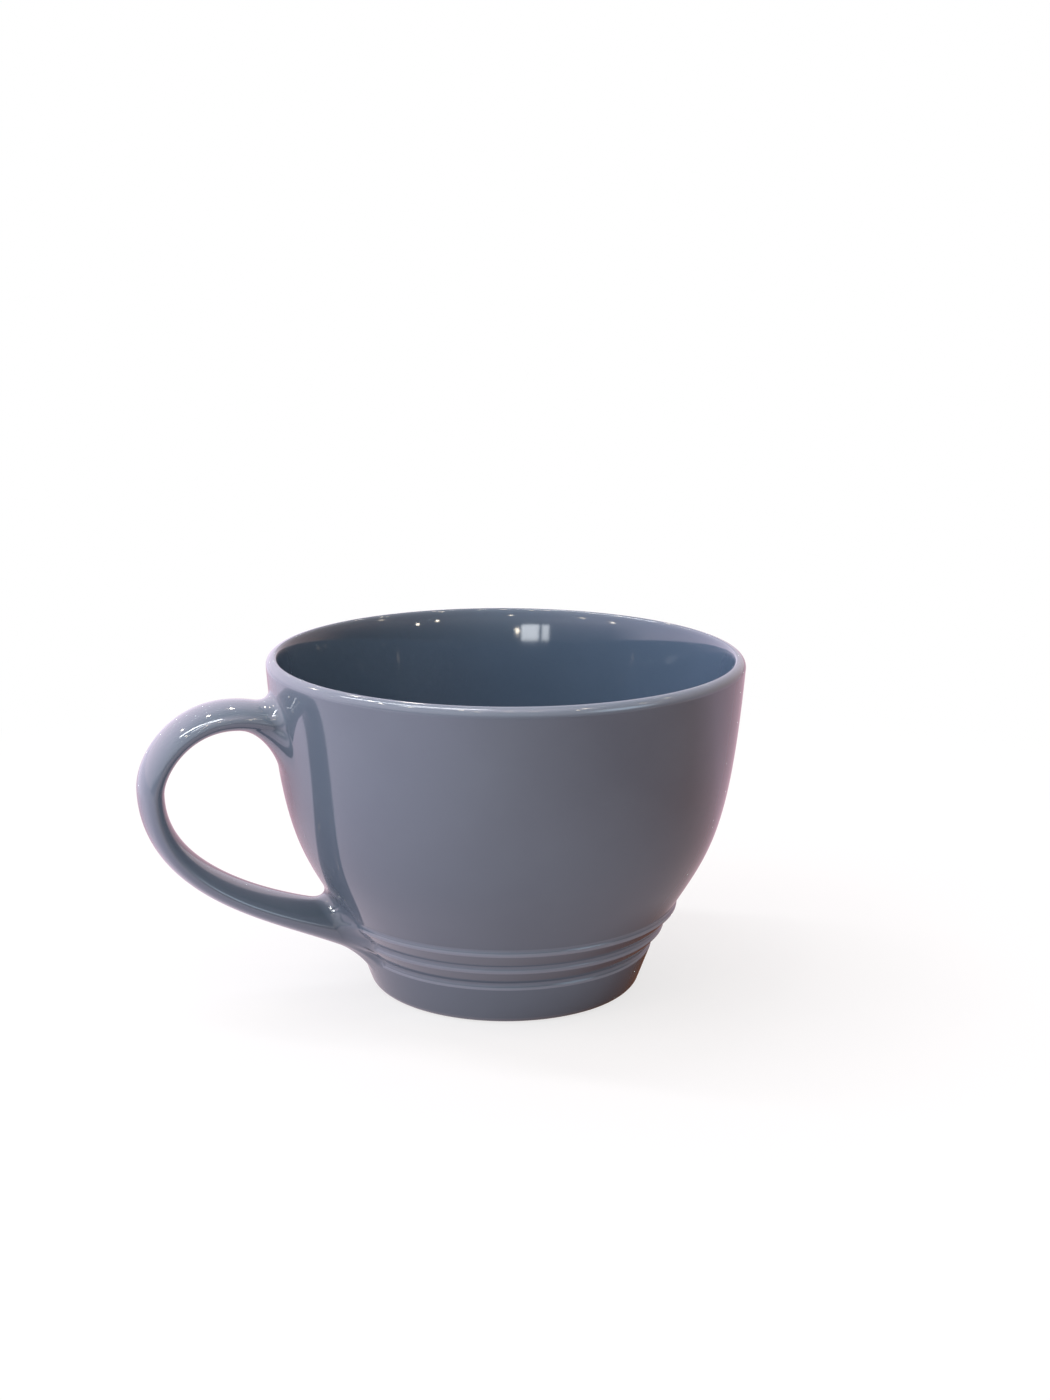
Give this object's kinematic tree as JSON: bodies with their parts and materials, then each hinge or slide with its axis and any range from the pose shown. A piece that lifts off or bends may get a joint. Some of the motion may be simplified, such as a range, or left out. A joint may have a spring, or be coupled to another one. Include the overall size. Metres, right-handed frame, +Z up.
{
  "type": "soup mug",
  "caption": "Wide glazed stoneware soup mug with a rounded lip, a stepped and ringed foot and a luted strap handle.",
  "frame": {"origin": "centre of the foot, on the plane that the mug rests on", "axes": "+Z up along the bowl's axis, the handle along -X"},
  "size_m": [0.1466, 0.115, 0.082],
  "materials": {
    "stoneware": "matte",
    "slip": "matte",
    "liner_glaze": "gloss",
    "outer_glaze": "gloss"
  },
  "bodies": {
    "root": {"bowl": "stoneware", "handle": "stoneware", "upper_slip_joint": "slip", "lower_slip_joint": "slip", "liner_glaze": "liner_glaze", "outer_glaze": "outer_glaze"}
  },
  "joints": []
}
